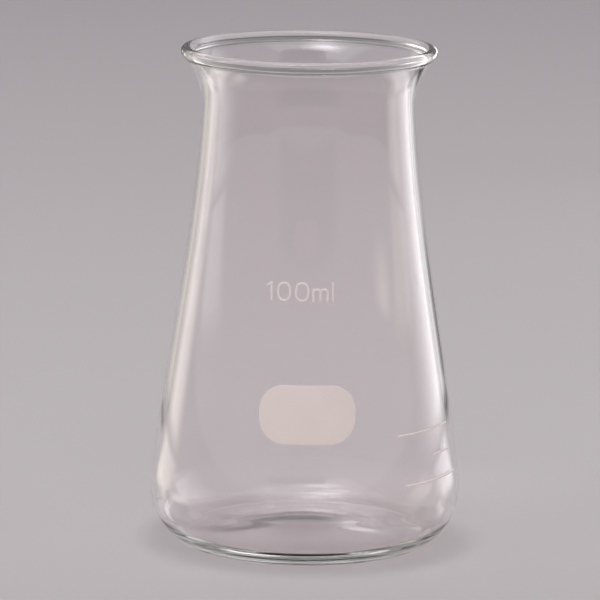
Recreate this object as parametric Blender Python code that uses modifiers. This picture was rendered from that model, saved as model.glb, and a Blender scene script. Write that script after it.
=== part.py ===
"""A 100 ml culture flask of clear glass, blown as one piece.

It has a wide mouth with a flared, beaded lip, a short neck, a cone whose side eases into its slope and
out of it, a rounded heel, and a base pushed up in the middle so that the flask stands on a flat ring.
Metres, +Z up. The origin is at the middle of that ring, on the surface that the flask stands on.
"""

import math

import bpy

MM = 0.001

# Overall sizes
HEIGHT = 93.3 * MM
RIM_DIAMETER = 47.5 * MM
NECK_DIAMETER = 39.7 * MM
BODY_DIAMETER = 58.0 * MM

# Lip: the round bead at the rim, and the radius of the outer face of the flare that carries it
BEAD_DIAMETER = 2.1 * MM
FLARE_RADIUS = 12.8 * MM

# Side of the cone: its slope from the vertical just under the neck, and where it turns in to the heel
NECK_SLOPE = math.radians(2.7)
HIP_SLOPE = math.radians(6.5)
HIP_RADIUS = 29.0 * MM

# Foot: a fullness of 2 makes the heel a true ellipse in section, and 1 would make it a straight bevel
HEEL_HEIGHT = 9.6 * MM
HEEL_FULLNESS = 1.66
INNER_HEEL_FULLNESS = 2.0
RING_DIAMETER = 44.0 * MM
RING_WIDTH = 1.6 * MM
PUSH_UP = 2.2 * MM

# Thickness of the glass
NECK_WALL = 1.2 * MM
SIDE_WALL = 1.2 * MM
FLOOR_WALL = 2.0 * MM

# Facets round the axis, and points along each stretch of the outline
TURN_STEPS = 72
BEAD_POINTS = 11
FLARE_POINTS = 6
SIDE_POINTS = 9
HIP_POINTS = 3
HEEL_POINTS = 8
DOME_POINTS = 5
MERGE_DISTANCE = 0.01 * MM

GLASS_COLOUR = (0.93, 0.95, 0.94, 1.0)
GLASS_ROUGHNESS = 0.02
GLASS_IOR = 1.47


def spread(first, last, count):
    """count values from first to last, evenly spaced, with both ends."""
    return [first + (last - first) * i / (count - 1) for i in range(count)]


def direction(start, end):
    """The angle of the line from start to end: 0 points away from the axis and 90 degrees up."""
    return math.atan2(end[1] - start[1], end[0] - start[0])


def on_circle(centre, radius, angle):
    """The point of a circle that lies in the direction angle from its centre."""
    return centre[0] + radius * math.cos(angle), centre[1] + radius * math.sin(angle)


def arc(centre, radius, first, last, count):
    """Points along a circle, from the direction first to the direction last."""
    return [on_circle(centre, radius, angle) for angle in spread(first, last, count)]


def side(top, bottom, count):
    """Points down a cubic that leaves top with NECK_SLOPE and reaches bottom with HIP_SLOPE."""
    drop = top[1] - bottom[1]
    growth = bottom[0] - top[0]
    first = drop * math.tan(NECK_SLOPE)
    last = drop * math.tan(HIP_SLOPE)
    square = 3 * growth - 2 * first - last
    cube = first + last - 2 * growth
    return [
        (top[0] + first * t + square * t**2 + cube * t**3, top[1] - drop * t)
        for t in spread(0.0, 1.0, count)
    ]


def heel(centre, half_width, half_height, fullness, count):
    """Points on a quarter of a superellipse, from level with its centre down to right under it."""
    power = 2 / fullness
    angles = spread(0.0, math.pi / 2, count)
    widths = [half_width * math.cos(angle) ** power for angle in angles]
    drops = [half_height * math.sin(angle) ** power for angle in angles]
    return [(centre[0] + width, centre[1] - drop) for width, drop in zip(widths, drops)]


def dome(edge, height, count):
    """Points from a ring in to the axis, over a swelling of PUSH_UP that is level at both ends."""
    return [
        (radius, height + PUSH_UP * (1 + math.cos(math.pi * radius / edge)) / 2)
        for radius in spread(edge, 0.0, count)
    ]


def outline():
    """The glass in section, from the middle of the floor, up inside, over the lip and down to the base."""
    neck = NECK_DIAMETER / 2
    body = BODY_DIAMETER / 2
    ring = RING_DIAMETER / 2

    # The outer face of the flare leaves the neck upright and runs smoothly into the bead
    bead = BEAD_DIAMETER / 2
    bead_centre = (RIM_DIAMETER / 2 - bead, HEIGHT - bead)
    reach = neck + FLARE_RADIUS - bead_centre[0]
    neck_height = bead_centre[1] - math.sqrt((FLARE_RADIUS + bead) ** 2 - reach**2)
    flare_centre = (neck + FLARE_RADIUS, neck_height)
    outer_end = direction(flare_centre, bead_centre)

    # The inner face keeps its distance from the outer one, and the bead stands proud of it at a crease
    inner_flare_radius = FLARE_RADIUS + NECK_WALL
    across = FLARE_RADIUS + bead
    lean = math.acos((across**2 + inner_flare_radius**2 - bead**2) / (2 * across * inner_flare_radius))
    inner_end = outer_end + lean
    crease = on_circle(flare_centre, inner_flare_radius, inner_end)

    def face(flare_radius, flare_end, side_wall, floor_wall, fullness):
        """One face of the glass, from the bead down to the ring."""
        flare = arc(flare_centre, flare_radius, flare_end, math.pi, FLARE_POINTS)
        hip_centre = (body - HIP_RADIUS, HEEL_HEIGHT)
        hip = arc(hip_centre, HIP_RADIUS - side_wall, HIP_SLOPE, 0.0, HIP_POINTS)
        half_width = body - side_wall - ring
        foot = heel((ring, HEEL_HEIGHT), half_width, HEEL_HEIGHT - floor_wall, fullness, HEEL_POINTS)
        return flare + side(flare[-1], hip[0], SIDE_POINTS)[1:-1] + hip + foot[1:]

    outside = face(FLARE_RADIUS, outer_end, 0.0, 0.0, HEEL_FULLNESS)
    inside = face(inner_flare_radius, inner_end, SIDE_WALL, FLOOR_WALL, INNER_HEEL_FULLNESS)
    lip = arc(bead_centre, bead, direction(bead_centre, crease) % math.tau, outer_end - math.pi, BEAD_POINTS)
    floor = dome(ring, FLOOR_WALL, DOME_POINTS)
    base = dome(ring - RING_WIDTH, 0.0, DOME_POINTS)
    return floor[::-1] + inside[-2::-1] + lip[1:-1] + outside + base


def turned(name, points, collection):
    """A solid made by turning a section, given as radius and height, round the Z axis."""
    mesh = bpy.data.meshes.new(name)
    corners = [(radius, 0.0, height) for radius, height in points]
    lines = [(i, i + 1) for i in range(len(points) - 1)]
    mesh.from_pydata(corners, lines, [])
    solid = bpy.data.objects.new(name, mesh)
    collection.objects.link(solid)
    screw = solid.modifiers.new("Turn", "SCREW")
    screw.axis = "Z"
    screw.angle = math.tau
    screw.steps = TURN_STEPS
    screw.render_steps = TURN_STEPS
    screw.use_merge_vertices = True
    screw.merge_threshold = MERGE_DISTANCE
    screw.use_smooth_shade = True
    return solid


def clear_glass():
    """Clear borosilicate glass, with the faintest green in its thickness."""
    material = bpy.data.materials.new("clear_glass")
    material.use_nodes = True
    surface = material.node_tree.nodes["Principled BSDF"]
    surface.inputs["Base Color"].default_value = GLASS_COLOUR
    surface.inputs["Metallic"].default_value = 0.0
    surface.inputs["Roughness"].default_value = GLASS_ROUGHNESS
    surface.inputs["IOR"].default_value = GLASS_IOR
    surface.inputs["Transmission Weight"].default_value = 1.0
    return material


def main():
    for item in list(bpy.data.objects):
        bpy.data.objects.remove(item)
    parts = bpy.data.collections.new("culture_flask")
    bpy.context.scene.collection.children.link(parts)
    flask = turned("flask", outline(), parts)
    flask.data.materials.append(clear_glass())


main()
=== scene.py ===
"""The finish of a 100 ml culture flask: one turned wall of clear glass, the enamel marks fired on to its
side, and a plain studio to see it in.

Metres, +Z up, +X to the right and -Y to the front, where the marks are. The origin is at the middle of the
ring that the flask stands on.
"""

import math

import bpy
import numpy as np
from mathutils import Matrix, Vector


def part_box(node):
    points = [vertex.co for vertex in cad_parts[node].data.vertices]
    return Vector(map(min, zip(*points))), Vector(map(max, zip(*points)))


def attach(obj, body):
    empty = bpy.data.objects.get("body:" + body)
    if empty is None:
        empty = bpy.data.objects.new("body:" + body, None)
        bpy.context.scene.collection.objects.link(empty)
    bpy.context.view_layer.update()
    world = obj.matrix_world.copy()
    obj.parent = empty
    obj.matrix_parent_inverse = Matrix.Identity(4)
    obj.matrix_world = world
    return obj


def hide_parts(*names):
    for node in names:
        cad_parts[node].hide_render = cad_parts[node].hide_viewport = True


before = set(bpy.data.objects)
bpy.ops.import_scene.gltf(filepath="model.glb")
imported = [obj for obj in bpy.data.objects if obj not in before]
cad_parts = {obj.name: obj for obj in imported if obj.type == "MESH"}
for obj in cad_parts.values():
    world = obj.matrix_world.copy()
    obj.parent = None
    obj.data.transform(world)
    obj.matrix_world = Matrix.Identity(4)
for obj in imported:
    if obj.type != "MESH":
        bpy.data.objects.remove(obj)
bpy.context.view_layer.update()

MM = 0.001

# Overall sizes of the flask; the height and the body's width are the frame's own
FRAME_LOW, FRAME_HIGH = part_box("flask")
HEIGHT = FRAME_HIGH.z
BODY_DIAMETER = FRAME_HIGH.x - FRAME_LOW.x
RIM_DIAMETER = 47.5 * MM
NECK_DIAMETER = 39.7 * MM

# Lip, side and foot, as the glass is turned in the frame
BEAD_DIAMETER = 2.1 * MM
FLARE_RADIUS = 12.8 * MM
NECK_SLOPE = math.radians(2.7)
HIP_SLOPE = math.radians(6.5)
HIP_RADIUS = 29.0 * MM
HEEL_HEIGHT = 9.6 * MM
HEEL_FULLNESS = 1.66
INNER_HEEL_FULLNESS = 2.0
RING_DIAMETER = 44.0 * MM
RING_WIDTH = 1.6 * MM
PUSH_UP = 2.2 * MM
NECK_WALL = 1.2 * MM
SIDE_WALL = 1.2 * MM
FLOOR_WALL = 2.0 * MM

# Fineness of the turned glass: points along each stretch of the section, and steps round the axis
BEAD_POINTS = 32
FLARE_POINTS = 20
SIDE_POINTS = 40
HIP_POINTS = 8
HEEL_POINTS = 36
DOME_POINTS = 20
TURN_STEPS = 320

# Enamel marks: heights are up the axis, and distances across are round the side from its front
ENAMEL_THICKNESS = 0.05 * MM
ENAMEL_SEAT = 0.02 * MM
STROKE_WIDTH = 0.42 * MM
MARK_BASELINE = 49.75 * MM
CAP_HEIGHT = 3.15 * MM
SMALL_HEIGHT = 2.05 * MM
WRITING_CENTRE = (0.35 * MM, 29.2 * MM)
WRITING_SIZE = (17.9 * MM, 10.7 * MM)
WRITING_CORNER = 4.7 * MM
WRITING_EDGE_POWER = 8
VOLUME_LINES = (
    # height, and the angles from the front where the line starts and ends
    (24.3 * MM, 38.5, 72.0),
    (19.6 * MM, 58.0, 71.0),
    (15.0 * MM, 41.0, 75.0),
)
VOLUME_LINE_WIDTH = 0.36 * MM

# Lettering of the capacity: where each figure or letter starts, and its width
ONE_LEFT = -7.3 * MM
NOUGHT_LEFTS = (-5.25 * MM, -1.95 * MM)
NOUGHT_WIDTH = 2.25 * MM
LETTER_M_LEFT = 1.2 * MM
LETTER_M_WIDTH = 2.6 * MM
LETTER_L_LEFT = 4.8 * MM

# The one's flag: its reach as a share of the height, and where its stroke starts as shares of that reach
FLAG_REACH = 0.26
FLAG_INSET = 0.2
FLAG_DROP = 0.6

# The nought's sides run a little straighter than an ellipse's, and the m's arches spring from its uprights
NOUGHT_POWER = 2.3
ARCH_START = math.radians(160.0)

# Fineness of the enamel: points round a stroke's section, on its round ends and along it
SECTION_POINTS = 10
END_POINTS = 6
LINE_POINTS = 12
ARCH_POINTS = 14
ARCH_LEG_POINTS = 8
NOUGHT_POINTS = 48
VOLUME_LINE_POINTS = 24
WRITING_ROWS = 52
WRITING_COLUMNS = 160
WRITING_CORNER_POINTS = 16

# Glass: a faint rose at its surfaces, and green in its depth
GLASS_TINT = (0.995, 0.968, 0.976, 1.0)
GLASS_IOR = 1.47
DEPTH_COLOUR = (0.74, 0.86, 0.76, 1.0)
DEPTH_DENSITY = 9.0

# Enamel: its colour drifts between two tones
ENAMEL_DARK = (0.86, 0.76, 0.71, 1.0)
ENAMEL_PALE = (0.92, 0.83, 0.78, 1.0)
ENAMEL_DRIFT_SCALE = 160.0
ENAMEL_DRIFT_DETAIL = 4.0
ENAMEL_ROUGHNESS = 0.55

# Camera: in front of the flask and above it, aimed a little left of the axis, rolled by a hair
CAMERA_PLACE = Vector((0.0, -863.0, 209.0)) * MM
CAMERA_AIM = Vector((-1.25, 0.0, 45.5)) * MM
CAMERA_ROLL = math.radians(0.6)
CAMERA_LENS = 282.4
SENSOR_WIDTH = 36.0
CLIP_NEAR = 0.05
CLIP_FAR = 20.0

# Studio: its floor lies just under the base, so that the base ring and the floor aren't one surface
FLOOR_HEIGHT = -0.05 * MM
FLOOR_HALF = 1.6
SWEEP_START = 1.0
SWEEP_RADIUS = 0.5
SWEEP_TOP = 1.3
SWEEP_POINTS = 24
PAPER_ROUGHNESS = 0.9
PAPER_SPECULAR = 0.2
# Painted shade on the paper: its colour is darker in front of the flask and paler towards the back, for the
# fall of the lamps' light on it
FLOOR_SHADE_TONES = (
    # distance behind the flask, and the colour there
    (-0.05, (0.425, 0.408, 0.412)),
    (0.05, (0.457, 0.440, 0.443)),
    (0.75, (0.468, 0.444, 0.458)),
)
ROOM_COLOUR = (1.0, 0.955, 0.975)
ROOM_LEVEL = 0.65
LIGHT_BOUNCES = 32
GLOSSY_BOUNCES = 16

# Lit faces: their two whites, the points along each side, and the share that stands for a fade of no width
WARM = (1.0, 0.94, 0.86)
COOL = (1.0, 0.98, 1.0)
LIT_POINTS = 24
LEAST_FADE = 1e-6

# The lamp overhead, which lights the room and is brightest in its middle
OVERHEAD = ((-0.85, -0.95, 0.95), (-0.65, 0.60, 0.95), (0.62, 0.70, 0.95), (0.45, -0.85, 0.95))
OVERHEAD_LEVEL = 2.65
OVERHEAD_EDGE_LEVEL = 1.35
OVERHEAD_SOFT = (0.5, 0.5)

# A brighter lamp just under it, in front of its middle and mostly to the left, which shows only in the glass
KEY_LAMP = ((-0.46, -0.58, 0.93), (-0.46, -0.22, 0.93), (0.10, -0.22, 0.93), (0.10, -0.58, 0.93))
KEY_LEVEL = 9.0
KEY_SOFT = (0.5, 0.5)

# Cards that show only in the glass. Each fades at its edges into the level of the backdrop, over a share of
# its width from its start and from its end, and over a share of its height from its foot and from its top
BACKDROP_LEVEL = 0.45
CARDS = (
    # name, start and end on the floor, foot and top, colour, level, shares of width, shares of height
    ("left_card", (-0.192, 0.055), (-0.144, 0.139), (0.001, 0.18), WARM, 1.65, (0.35, 0.3), (0.0, 0.6)),
    ("left_tail", (-0.144, 0.139), (-0.100, 0.173), (0.001, 0.12), WARM, 0.65, (0.0, 0.3), (0.0, 0.3)),
    ("left_lamp", (-0.134, 0.149), (-0.068, 0.188), (0.12, 0.34), WARM, 1.3, (0.3, 0.3), (0.3, 0.2)),
    ("left_low", (-0.46, 0.45), (-0.16, 0.45), (0.045, 0.14), COOL, 1.5, (0.4, 0.1), (0.2, 0.4)),
    ("right_card", (0.200, 0.007), (0.139, 0.144), (0.001, 0.26), COOL, 2.15, (0.85, 0.08), (0.0, 0.5)),
    ("right_tail", (0.139, 0.144), (0.100, 0.173), (0.001, 0.12), COOL, 0.8, (0.0, 0.3), (0.0, 0.3)),
    ("right_dark", (0.105, 0.170), (0.078, 0.184), (0.001, 0.042), COOL, 0.04, (0.15, 0.2), (0.0, 0.45)),
    ("right_lamp", (0.134, 0.149), (0.068, 0.188), (0.12, 0.34), COOL, 1.3, (0.1, 0.3), (0.3, 0.2)),
    ("right_low", (0.055, 0.45), (0.44, 0.45), (0.045, 0.13), COOL, 2.3, (0.04, 0.6), (0.1, 0.3)),
    ("low_flag", (-0.17, 0.45), (0.055, 0.45), (0.045, 0.135), COOL, 0.16, (0.25, 0.1), (0.1, 0.1)),
    ("high_flag", (-0.08, 0.451), (0.08, 0.451), (0.12, 0.38), COOL, 0.22, (0.4, 0.4), (0.0, 0.4)),
    ("dark_front", (-0.22, -0.56), (0.40, -0.50), (0.44, 0.95), COOL, 0.05, (0.2, 0.2), (0.2, 0.2)),
)

# Light and dark patches low over the floor, which show only in the glass too
FLOOR_PATCH_HEIGHT = 0.001
FLOOR_PATCHES = (
    # name, four corners, colour, level, shares of width, shares of depth
    ("left_strip", ((-0.050, 0.004), (-0.056, 0.055), (-0.136, 0.146), (-0.193, 0.048)), WARM, 1.35,
     (0.3, 0.3), (0.3, 0.0)),
    ("right_strip", ((0.050, 0.004), (0.056, 0.055), (0.136, 0.146), (0.193, 0.048)), COOL, 1.5,
     (0.3, 0.3), (0.3, 0.0)),
    ("right_shade", ((0.098, 0.117), (0.062, 0.140), (0.081, 0.182), (0.123, 0.155)), COOL, 0.1,
     (0.15, 0.2), (0.5, 0.0)),
    ("left_shade", ((-0.090, 0.107), (-0.057, 0.128), (-0.069, 0.155), (-0.110, 0.130)), WARM, 0.22,
     (0.15, 0.2), (0.4, 0.4)),
    ("left_spot", ((-0.064, 0.022), (-0.064, -0.016), (-0.130, -0.030), (-0.130, 0.036)), WARM, 1.8,
     (0.5, 0.5), (0.15, 0.8)),
    ("front_shade", ((-0.044, -0.056), (0.044, -0.056), (0.145, -0.190), (-0.145, -0.190)), COOL, 0.14,
     (0.15, 0.15), (0.15, 0.3)),
)


# Outlines

def direction(start, end):
    """The angle of the line from start to end: 0 points away from the axis and 90 degrees up."""
    return math.atan2(end[1] - start[1], end[0] - start[0])


def arc(centre, radius, first, last, count):
    """Points centre + radius * (cos a, sin a), for count angles a from first to last."""
    angles = np.linspace(first, last, count)
    return np.column_stack((centre[0] + radius * np.cos(angles), centre[1] + radius * np.sin(angles)))


def side(top, bottom, count):
    """A cubic down from top to bottom that leaves top with NECK_SLOPE and reaches bottom with HIP_SLOPE."""
    drop = top[1] - bottom[1]
    growth = bottom[0] - top[0]
    first = drop * math.tan(NECK_SLOPE)
    last = drop * math.tan(HIP_SLOPE)
    square = 3 * growth - 2 * first - last
    cube = first + last - 2 * growth
    t = np.linspace(0.0, 1.0, count)
    return np.column_stack((top[0] + first * t + square * t**2 + cube * t**3, top[1] - drop * t))


def heel(centre, half_width, half_height, fullness, count):
    """A quarter of a superellipse, from level with its centre down to right under it.

    Its points are centre + (half_width * cos^p a, -half_height * sin^p a), with p = 2 / fullness.
    """
    power = 2 / fullness
    angles = np.linspace(0.0, math.pi / 2, count)
    cosine = np.clip(np.cos(angles), 0.0, 1.0) ** power
    sine = np.clip(np.sin(angles), 0.0, 1.0) ** power
    return np.column_stack((centre[0] + half_width * cosine, centre[1] - half_height * sine))


def dome(edge, height, count):
    """From a ring in to the axis, over a swelling of PUSH_UP shaped as half a cosine wave."""
    radius = np.linspace(edge, 0.0, count)
    return np.column_stack((radius, height + PUSH_UP * (1 + np.cos(math.pi * radius / edge)) / 2))


def glass_faces():
    """The inner face, the lip, the outer face and the base of the glass, each as radius and height."""
    neck = NECK_DIAMETER / 2
    body = BODY_DIAMETER / 2
    ring = RING_DIAMETER / 2

    # The outer face of the flare leaves the neck upright and runs smoothly into the bead
    bead = BEAD_DIAMETER / 2
    bead_centre = (RIM_DIAMETER / 2 - bead, HEIGHT - bead)
    reach = neck + FLARE_RADIUS - bead_centre[0]
    neck_height = bead_centre[1] - math.sqrt((FLARE_RADIUS + bead) ** 2 - reach**2)
    flare_centre = (neck + FLARE_RADIUS, neck_height)
    outer_end = direction(flare_centre, bead_centre)

    # The inner face keeps its distance from the outer one, and the bead stands proud of it at a crease
    inner_flare_radius = FLARE_RADIUS + NECK_WALL
    across = FLARE_RADIUS + bead
    lean = math.acos((across**2 + inner_flare_radius**2 - bead**2) / (2 * across * inner_flare_radius))
    inner_end = outer_end + lean

    def face(flare_radius, flare_end, side_wall, floor_wall, fullness):
        """One face of the glass, from the bead down to the ring."""
        flare = arc(flare_centre, flare_radius, flare_end, math.pi, FLARE_POINTS)
        hip = arc((body - HIP_RADIUS, HEEL_HEIGHT), HIP_RADIUS - side_wall, HIP_SLOPE, 0.0, HIP_POINTS)
        half_width = body - side_wall - ring
        foot = heel((ring, HEEL_HEIGHT), half_width, HEEL_HEIGHT - floor_wall, fullness, HEEL_POINTS)
        return np.vstack((flare, side(flare[-1], hip[0], SIDE_POINTS)[1:-1], hip, foot[1:]))

    outside = face(FLARE_RADIUS, outer_end, 0.0, 0.0, HEEL_FULLNESS)
    inside = face(inner_flare_radius, inner_end, SIDE_WALL, FLOOR_WALL, INNER_HEEL_FULLNESS)
    lip_start = direction(bead_centre, inside[0]) % math.tau
    lip = arc(bead_centre, bead, lip_start, outer_end - math.pi, BEAD_POINTS)
    floor = dome(ring, FLOOR_WALL, DOME_POINTS)
    base = dome(ring - RING_WIDTH, 0.0, DOME_POINTS)
    return np.vstack((floor[::-1], inside[-2::-1])), lip[1:-1], outside, base


INNER_FACE, LIP, OUTER_FACE, BASE = glass_faces()


def outer_radius(height):
    """The outer side's radius at a height, or at each of several."""
    rising = OUTER_FACE[::-1]
    return np.interp(height, rising[:, 1], rising[:, 0])


# Meshes

def skin(grid, poles):
    """Points and faces of a closed surface through a grid of rows of points, each row joined up on itself.

    With poles, each end row has shrunk to one point. Without, the last row joins the first. A face's corners
    run down the rows first and then along, so it faces the side that (down x along) points to.
    """
    rows, columns = grid.shape[:2]
    if not poles:
        index = np.arange(rows * columns).reshape(rows, columns)
        under = np.roll(index, -1, axis=0)
        points, fans = grid.reshape(-1, 3), np.zeros((0, 3), int)
    else:
        points = np.vstack((grid[0, :1], grid[1:-1].reshape(-1, 3), grid[-1, :1]))
        ring = 1 + np.arange((rows - 2) * columns).reshape(rows - 2, columns)
        index, under = ring[:-1], ring[1:]
        first, last = ring[0], ring[-1]
        top = np.column_stack((np.zeros(columns, int), first, np.roll(first, -1)))
        bottom = np.column_stack((last, np.full(columns, len(points) - 1), np.roll(last, -1)))
        fans = np.vstack((top, bottom))
    quads = np.stack((index, under, np.roll(under, -1, axis=1), np.roll(index, -1, axis=1)), axis=-1)
    return points, quads.reshape(-1, 4), fans


def piece(name, skins, material):
    """One object from several closed skins, shaded smooth, which rides with the flask."""
    points, faces, used = [], [], 0
    for skin_points, quads, fans in skins:
        points.append(skin_points)
        faces += (quads + used).tolist() + (fans + used).tolist()
        used += len(skin_points)
    mesh = bpy.data.meshes.new(name)
    mesh.from_pydata(np.vstack(points).tolist(), [], faces)
    mesh.shade_smooth()
    mesh.materials.append(material)
    made = bpy.data.objects.new(name, mesh)
    bpy.context.scene.collection.objects.link(made)
    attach(made, "root")
    return made


def glass_wall():
    """The whole flask: point (i, j) is the section's point i turned by the angle 2 pi j / TURN_STEPS."""
    section = np.vstack((INNER_FACE, LIP, OUTER_FACE, BASE))
    angles = np.arange(TURN_STEPS) * math.tau / TURN_STEPS
    radius = section[:, :1]
    height = np.repeat(section[:, 1:], TURN_STEPS, axis=1)
    return skin(np.dstack((radius * np.cos(angles), radius * np.sin(angles), height)), poles=True)


# Enamel

def on_side(across, height, proud):
    """Points round the outer side, at the angle across / radius from the front and off it by proud."""
    radius = outer_radius(height)
    angle = across / radius
    return np.stack(((radius + proud) * np.sin(angle), -(radius + proud) * np.cos(angle), height), axis=-1)


def enamel_section():
    """A stroke's section as shares of its half-width and its thickness.

    It is the circle (-cos a, sin a): from the right edge over the top to the left one, and back under.
    """
    turn = np.arange(SECTION_POINTS) * math.tau / SECTION_POINTS
    return -np.cos(turn), np.sin(turn)


def laid(path, heading, half_width):
    """The rows of a stroke's skin: at each point of the path lies a section square to its heading.

    It reaches half_width to each side, and its thickness goes with the root of half_width.
    """
    across, rise = enamel_section()
    left = np.column_stack((-heading[:, 1], heading[:, 0]))
    offset = half_width[:, None] * across[None, :]
    share = (half_width / half_width.max())[:, None]
    lift = np.where(rise > 0, rise * ENAMEL_THICKNESS, rise * ENAMEL_SEAT)[None, :] * np.sqrt(share)
    spread = path[:, 0:1] + left[:, 0:1] * offset
    height = path[:, 1:2] + left[:, 1:2] * offset
    return on_side(spread, height, lift)


def headings(path, closed):
    """The unit direction along a path at each of its points."""
    if closed:
        along = np.roll(path, -1, axis=0) - np.roll(path, 1, axis=0)
    else:
        along = np.gradient(path, axis=0)
    return along / np.linalg.norm(along, axis=1, keepdims=True)


def stroke(path, width=STROKE_WIDTH):
    """A stroke with round ends: past each end the section's half-width falls as a quarter circle."""
    path = np.asarray(path, float)
    heading = headings(path, closed=False)
    half = width / 2
    turn = np.linspace(0.0, math.pi / 2, END_POINTS)
    start = path[0] - heading[0] * half * np.cos(turn)[:, None]
    end = path[-1] + heading[-1] * half * np.cos(turn[::-1])[:, None]
    rows = np.vstack((start, path[1:-1], end))
    first = np.tile(heading[0], (END_POINTS, 1))
    last = np.tile(heading[-1], (END_POINTS, 1))
    along = np.vstack((first, heading[1:-1], last))
    widths = np.concatenate((half * np.sin(turn), np.full(len(path) - 2, half), half * np.sin(turn[::-1])))
    return skin(laid(rows, along, widths), poles=True)


def loop(path, width=STROKE_WIDTH):
    """A stroke round a closed path."""
    path = np.asarray(path, float)
    return skin(laid(path, headings(path, closed=True), np.full(len(path), width / 2)), poles=False)


def line(start, end, count=LINE_POINTS):
    """Points evenly along a straight line."""
    return np.linspace(start, end, count)


def figure_one(left, base, height):
    """An upright with a short flag at its top left."""
    flag = FLAG_REACH * height
    top = (left + flag, base + height)
    flag_start = (left + FLAG_INSET * flag, base + height - FLAG_DROP * flag)
    return [stroke(line((left + flag, base), top)), stroke(line(flag_start, top))]


def figure_nought(left, base, width, height):
    """A closed superellipse.

    Its points are its middle + (width / 2 * cos^p a, height / 2 * sin^p a), with p = 2 / NOUGHT_POWER and the
    signs of cos a and sin a kept.
    """
    angle = np.arange(NOUGHT_POINTS) * math.tau / NOUGHT_POINTS
    power = 2 / NOUGHT_POWER
    round_x = np.sign(np.cos(angle)) * np.abs(np.cos(angle)) ** power
    round_y = np.sign(np.sin(angle)) * np.abs(np.sin(angle)) ** power
    middle = (left + width / 2, base + height / 2)
    return [loop(np.column_stack((middle[0] + width / 2 * round_x, middle[1] + height / 2 * round_y)))]


def letter_m(left, base, width, height):
    """Three uprights, the last two joined to the one before by half-round arches."""
    step = width / 2
    strokes = [stroke(line((left, base), (left, base + height)))]
    for start in (left, left + step):
        middle = (start + step / 2, base + height - step / 2)
        arch = arc(middle, step / 2, ARCH_START, 0.0, ARCH_POINTS)
        leg = line(arch[-1], (start + step, base), ARCH_LEG_POINTS)
        strokes.append(stroke(np.vstack((arch, leg[1:]))))
    return strokes


def capacity_mark(material):
    """The capacity, 100 ml, in plain even strokes."""
    strokes = figure_one(ONE_LEFT, MARK_BASELINE, CAP_HEIGHT)
    for left in NOUGHT_LEFTS:
        strokes += figure_nought(left, MARK_BASELINE, NOUGHT_WIDTH, CAP_HEIGHT)
    strokes += letter_m(LETTER_M_LEFT, MARK_BASELINE, LETTER_M_WIDTH, SMALL_HEIGHT)
    strokes += [stroke(line((LETTER_L_LEFT, MARK_BASELINE), (LETTER_L_LEFT, MARK_BASELINE + CAP_HEIGHT)))]
    return piece("capacity_mark", strokes, material)


def rounded_rectangle(width, height, corner, count):
    """count points evenly along a rectangle whose corners are quarter circles, anticlockwise."""
    quarters = np.arange(4)[:, None]
    angles = (quarters + np.linspace(0.0, 1.0, WRITING_CORNER_POINTS)[None, :]) * math.pi / 2
    middle_x = np.where((quarters == 0) | (quarters == 3), 1, -1) * (width / 2 - corner)
    middle_y = np.where(quarters < 2, 1, -1) * (height / 2 - corner)
    x = (middle_x + corner * np.cos(angles)).ravel()
    y = (middle_y + corner * np.sin(angles)).ravel()
    x, y = np.append(x, x[0]), np.append(y, y[0])
    reach = np.concatenate(((0.0,), np.cumsum(np.hypot(np.diff(x), np.diff(y)))))
    even = np.arange(count) * reach[-1] / count
    return np.column_stack((np.interp(even, reach, x), np.interp(even, reach, y)))


def writing_patch(material):
    """A field of enamel to write on: a rounded rectangle of even thickness that thins out at its edge.

    Row a, from 0 at the middle of its face to pi at the middle of its back, is the outline shrunk to sin a,
    and stands off the glass by the thickness times the root of 1 - sin^p a, with p = WRITING_EDGE_POWER.
    """
    outline = rounded_rectangle(*WRITING_SIZE, WRITING_CORNER, WRITING_COLUMNS)
    turn = np.linspace(0.0, math.pi, WRITING_ROWS)
    share = np.sin(turn)[:, None]
    thickness = np.where(turn < math.pi / 2, ENAMEL_THICKNESS, -ENAMEL_SEAT)
    lift = thickness * np.sqrt(1 - np.sin(turn) ** WRITING_EDGE_POWER)
    across = WRITING_CENTRE[0] + share * outline[None, :, 0]
    height = WRITING_CENTRE[1] + share * outline[None, :, 1]
    grid = on_side(across, height, np.repeat(lift[:, None], WRITING_COLUMNS, axis=1))
    return piece("writing_patch", [skin(grid, poles=True)], material)


def volume_marks(material):
    """Level lines low on the right of the side, at steps of about ten millilitres."""
    strokes = []
    for height, first, last in VOLUME_LINES:
        radius = float(outer_radius(height))
        across = np.radians(np.linspace(first, last, VOLUME_LINE_POINTS)) * radius
        path = np.column_stack((across, np.full(len(across), height)))
        strokes.append(stroke(path, VOLUME_LINE_WIDTH))
    return piece("volume_marks", strokes, material)


# Materials

def new_material(name):
    """A node material, its nodes, its links and its surface shader."""
    material = bpy.data.materials.new(name)
    material.use_nodes = True
    tree = material.node_tree
    return material, tree.nodes, tree.links, tree.nodes["Principled BSDF"]


def clear_glass():
    """Clear glass, faintly rose, with a trace of green that shows where the eye looks along the wall."""
    material, nodes, links, surface = new_material("clear_glass")
    surface.inputs["Base Color"].default_value = GLASS_TINT
    surface.inputs["Metallic"].default_value = 0.0
    surface.inputs["Roughness"].default_value = 0.0
    surface.inputs["IOR"].default_value = GLASS_IOR
    surface.inputs["Transmission Weight"].default_value = 1.0
    depth = nodes.new("ShaderNodeVolumeAbsorption")
    depth.inputs["Color"].default_value = DEPTH_COLOUR
    depth.inputs["Density"].default_value = DEPTH_DENSITY
    links.new(depth.outputs["Volume"], nodes["Material Output"].inputs["Volume"])
    return material


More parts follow.
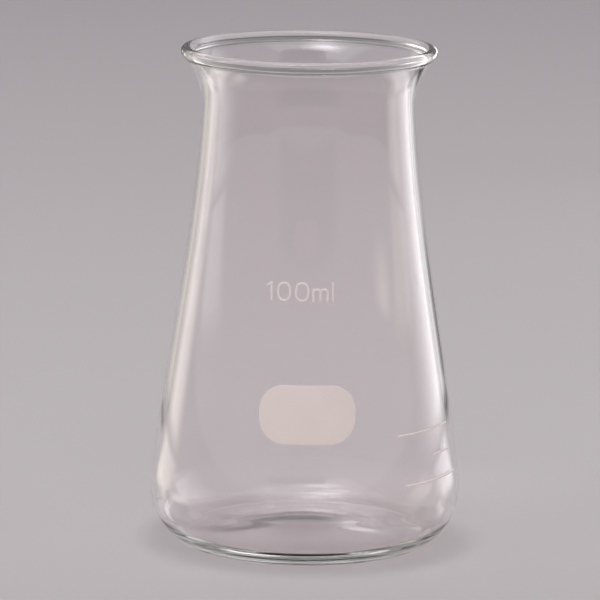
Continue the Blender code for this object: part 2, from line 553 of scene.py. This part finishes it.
def fired_enamel():
    """Warm white enamel, a little uneven in its colour."""
    material, nodes, links, surface = new_material("fired_enamel")
    place = nodes.new("ShaderNodeTexCoord")
    cloud = nodes.new("ShaderNodeTexNoise")
    cloud.inputs["Scale"].default_value = ENAMEL_DRIFT_SCALE
    cloud.inputs["Detail"].default_value = ENAMEL_DRIFT_DETAIL
    tone = nodes.new("ShaderNodeValToRGB")
    tone.color_ramp.elements[0].color = ENAMEL_DARK
    tone.color_ramp.elements[1].color = ENAMEL_PALE
    links.new(place.outputs["Object"], cloud.inputs["Vector"])
    links.new(cloud.outputs["Fac"], tone.inputs["Fac"])
    links.new(tone.outputs["Color"], surface.inputs["Base Color"])
    surface.inputs["Roughness"].default_value = ENAMEL_ROUGHNESS
    return material


def matt_paper():
    """The floor and the sweep behind it, with painted shade: a little darker at the front and paler towards
    the back.
    """
    material, nodes, links, surface = new_material("matt_paper")
    place = nodes.new("ShaderNodeTexCoord")
    axes = nodes.new("ShaderNodeSeparateXYZ")
    nearest, farthest = FLOOR_SHADE_TONES[0][0], FLOOR_SHADE_TONES[-1][0]
    depth = nodes.new("ShaderNodeMapRange")
    depth.inputs["From Min"].default_value = nearest
    depth.inputs["From Max"].default_value = farthest
    tone = nodes.new("ShaderNodeValToRGB")
    stops = tone.color_ramp.elements
    stops.new((FLOOR_SHADE_TONES[1][0] - nearest) / (farthest - nearest))
    for stop, (distance, colour) in zip(stops, FLOOR_SHADE_TONES):
        stop.color = (*colour, 1.0)
    # Painted shade: the paper's colour follows its distance behind the flask
    links.new(place.outputs["Object"], axes.inputs["Vector"])
    links.new(axes.outputs["Y"], depth.inputs["Value"])
    links.new(depth.outputs["Result"], tone.inputs["Fac"])
    links.new(tone.outputs["Color"], surface.inputs["Base Color"])
    surface.inputs["Roughness"].default_value = PAPER_ROUGHNESS
    surface.inputs["Specular IOR Level"].default_value = PAPER_SPECULAR
    return material


def lamp_face(name, colour):
    """The lit face of a lamp or a card, as bright at each point as the face's own attribute says."""
    material = bpy.data.materials.new(name)
    material.use_nodes = True
    tree = material.node_tree
    tree.nodes.clear()
    level = tree.nodes.new("ShaderNodeAttribute")
    level.attribute_name = "level"
    glow = tree.nodes.new("ShaderNodeEmission")
    glow.inputs["Color"].default_value = (*colour, 1.0)
    output = tree.nodes.new("ShaderNodeOutputMaterial")
    tree.links.new(level.outputs["Fac"], glow.inputs["Strength"])
    tree.links.new(glow.outputs["Emission"], output.inputs["Surface"])
    return material


# Studio

def sweep():
    """A floor that runs back level, then up a quarter circle to a wall."""
    bend = arc((SWEEP_START, SWEEP_RADIUS), SWEEP_RADIUS, -math.pi / 2, 0.0, SWEEP_POINTS)
    wall_top = (SWEEP_START + SWEEP_RADIUS, SWEEP_TOP)
    back = np.vstack(((-FLOOR_HALF, 0.0), bend, wall_top)) + (0.0, FLOOR_HEIGHT)
    points = np.vstack([np.column_stack((np.full(len(back), x), back)) for x in (-FLOOR_HALF, FLOOR_HALF)])
    count = len(back)
    near = np.arange(count - 1)
    faces = np.column_stack((near, near + count, near + count + 1, near + 1))
    mesh = bpy.data.meshes.new("sweep")
    mesh.from_pydata(points.tolist(), [], faces.tolist())
    mesh.shade_smooth()
    mesh.materials.append(matt_paper())
    made = bpy.data.objects.new("sweep", mesh)
    bpy.context.scene.collection.objects.link(made)


def fade(share, soft):
    """0 at both ends of a face and 1 inside: t^2 (3 - 2 t), where t rises over the share soft at each end."""
    at_start = share / max(soft[0], LEAST_FADE)
    at_end = (1 - share) / max(soft[1], LEAST_FADE)
    rise = np.clip(np.minimum(at_start, at_end), 0.0, 1.0)
    return rise**2 * (3 - 2 * rise)


def lit_face(name, corners, colour, level, soft_along, soft_up, rest=BACKDROP_LEVEL, lights_room=False):
    """A flat lit face that the camera doesn't see: point (u, v) lies between its four corners.

    Its level falls smoothly to rest towards its ends along u and along v.
    """
    first, second, third, fourth = np.asarray(corners, float)
    share = np.linspace(0.0, 1.0, LIT_POINTS)
    u, v = share[None, :, None], share[:, None, None]
    points = (first * (1 - u) + second * u) * (1 - v) + (fourth * (1 - u) + third * u) * v
    index = np.arange(LIT_POINTS**2).reshape(LIT_POINTS, LIT_POINTS)
    faces = np.stack((index[:-1, :-1], index[:-1, 1:], index[1:, 1:], index[1:, :-1]), axis=-1).reshape(-1, 4)
    mesh = bpy.data.meshes.new(name)
    mesh.from_pydata(points.reshape(-1, 3).tolist(), [], faces.tolist())
    strength = fade(share, soft_up)[:, None] * fade(share, soft_along)[None, :]
    glow = rest + (level - rest) * strength
    mesh.attributes.new("level", "FLOAT", "POINT").data.foreach_set("value", glow.ravel())
    mesh.materials.append(lamp_face(name + "_face", colour))
    made = bpy.data.objects.new(name, mesh)
    made.visible_camera = False
    made.visible_diffuse = lights_room
    made.visible_shadow = lights_room
    bpy.context.scene.collection.objects.link(made)


def upright(start, end, low, high):
    """The corners of an upright face over the line from start to end, from height low to height high."""
    return [(*start, low), (*end, low), (*end, high), (*start, high)]


def lamps():
    """The two lamps overhead, the cards round the flask and the patches over the floor."""
    lit_face(
        "overhead", OVERHEAD, COOL, OVERHEAD_LEVEL, OVERHEAD_SOFT, OVERHEAD_SOFT,
        rest=OVERHEAD_EDGE_LEVEL, lights_room=True,
    )
    lit_face("key_lamp", KEY_LAMP, COOL, KEY_LEVEL, KEY_SOFT, KEY_SOFT, rest=OVERHEAD_LEVEL)
    for name, start, end, edges, colour, level, soft_along, soft_up in CARDS:
        lit_face(name, upright(start, end, *edges), colour, level, soft_along, soft_up)
    for name, plan, colour, level, soft_along, soft_up in FLOOR_PATCHES:
        raised = [(*corner, FLOOR_PATCH_HEIGHT) for corner in plan]
        lit_face(name, raised, colour, level, soft_along, soft_up)


def surroundings():
    """A dim even room round the floor."""
    world = bpy.data.worlds.new("room")
    world.use_nodes = True
    shade = world.node_tree.nodes["Background"]
    shade.inputs["Color"].default_value = (*ROOM_COLOUR, 1.0)
    shade.inputs["Strength"].default_value = ROOM_LEVEL
    bpy.context.scene.world = world


def camera():
    """The camera of the photograph: a long lens in front of the flask, looking a little down on it."""
    data = bpy.data.cameras.new("camera")
    data.lens = CAMERA_LENS
    data.sensor_width = SENSOR_WIDTH
    data.clip_start = CLIP_NEAR
    data.clip_end = CLIP_FAR
    made = bpy.data.objects.new("camera", data)
    look = (CAMERA_AIM - CAMERA_PLACE).to_track_quat("-Z", "Y").to_matrix().to_4x4()
    made.matrix_world = Matrix.Translation(CAMERA_PLACE) @ look @ Matrix.Rotation(CAMERA_ROLL, 4, "Z")
    bpy.context.scene.collection.objects.link(made)
    bpy.context.scene.camera = made


def studio():
    """Floor, lamps, room and camera."""
    sweep()
    lamps()
    surroundings()
    camera()
    scene = bpy.context.scene
    scene.view_settings.view_transform = "Standard"
    scene.cycles.max_bounces = LIGHT_BOUNCES
    scene.cycles.transmission_bounces = LIGHT_BOUNCES
    scene.cycles.glossy_bounces = GLOSSY_BOUNCES
    scene.cycles.blur_glossy = 0.0


def flask():
    """The glass in place of the frame's own solid, and the enamel on it."""
    glass = piece("glass_flask", [glass_wall()], clear_glass())
    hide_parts("flask")
    enamel = fired_enamel()
    capacity_mark(enamel)
    writing_patch(enamel)
    volume_marks(enamel)


flask()
studio()
